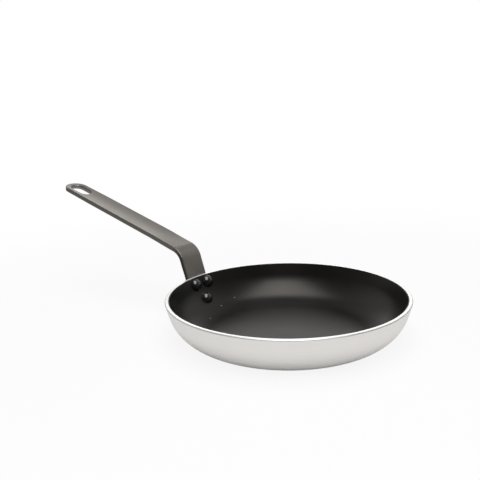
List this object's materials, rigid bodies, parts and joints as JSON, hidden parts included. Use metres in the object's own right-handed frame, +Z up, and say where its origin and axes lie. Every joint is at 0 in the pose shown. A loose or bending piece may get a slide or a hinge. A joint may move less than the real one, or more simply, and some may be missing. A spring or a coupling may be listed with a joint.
{
  "type": "frying pan",
  "caption": "Shallow round frying pan with a flared aluminium wall, black non-stick lining and a riveted flat-bar handle that ends in a hanging slot.",
  "frame": {"origin": "centre of the flat base, on the surface that the pan stands on", "axes": "+Z up out of the pan, handle along -X, Y across"},
  "size_m": [0.4479, 0.2396, 0.1251],
  "materials": {
    "satin_aluminium": "satin, with a bright cut rim",
    "black_nonstick": "semi-gloss non-stick coating",
    "satin_steel": "dull satin",
    "black_rivet": "glossy black"
  },
  "bodies": {
    "root": {"pan_body": "satin_aluminium", "nonstick_lining": "black_nonstick", "handle": "satin_steel", "rivet_upper_left": "black_rivet", "rivet_upper_right": "black_rivet", "rivet_lower": "black_rivet"}
  },
  "joints": []
}
